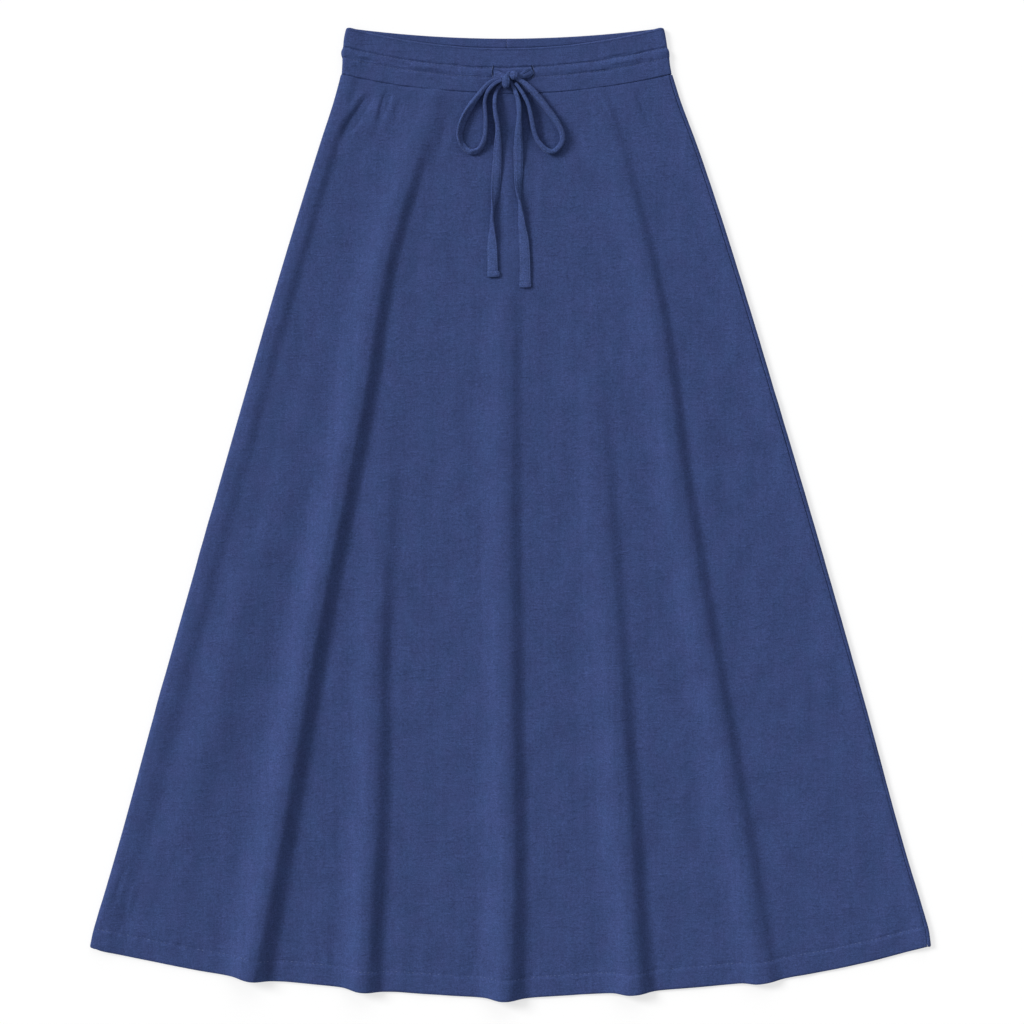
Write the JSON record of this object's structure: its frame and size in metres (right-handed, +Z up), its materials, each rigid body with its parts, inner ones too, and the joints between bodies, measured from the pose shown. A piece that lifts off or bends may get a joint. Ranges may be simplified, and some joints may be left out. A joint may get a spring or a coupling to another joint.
{
  "type": "maxi skirt, laid flat",
  "caption": "A-line maxi skirt of soft woven cloth, laid flat, with a drawstring waistband tied in a bow and long soft folds in its front.",
  "frame": {"origin": "on the surface that the skirt lies on, under the middle of its outline", "axes": "+Y from the hem towards the waist, +Z up through the front of the skirt, +X to the right as seen from above"},
  "size_m": [0.8655, 1, 0.0172],
  "materials": {
    "skirt_cloth": "soft matt weave with fine slubs",
    "waistband_cloth": "soft matt weave with fine slubs, doubled and stitched",
    "drawstring_cloth": "soft matt weave, stitched edges"
  },
  "bodies": {
    "root": {"back_panel": "skirt_cloth", "front_panel": "skirt_cloth", "waistband": "waistband_cloth", "drawstring_knot": "drawstring_cloth", "drawstring_left_loop": "drawstring_cloth", "drawstring_right_loop": "drawstring_cloth", "drawstring_left_tail": "drawstring_cloth", "drawstring_right_tail": "drawstring_cloth", "drawstring_left_lead": "drawstring_cloth", "drawstring_right_lead": "drawstring_cloth"}
  },
  "joints": []
}
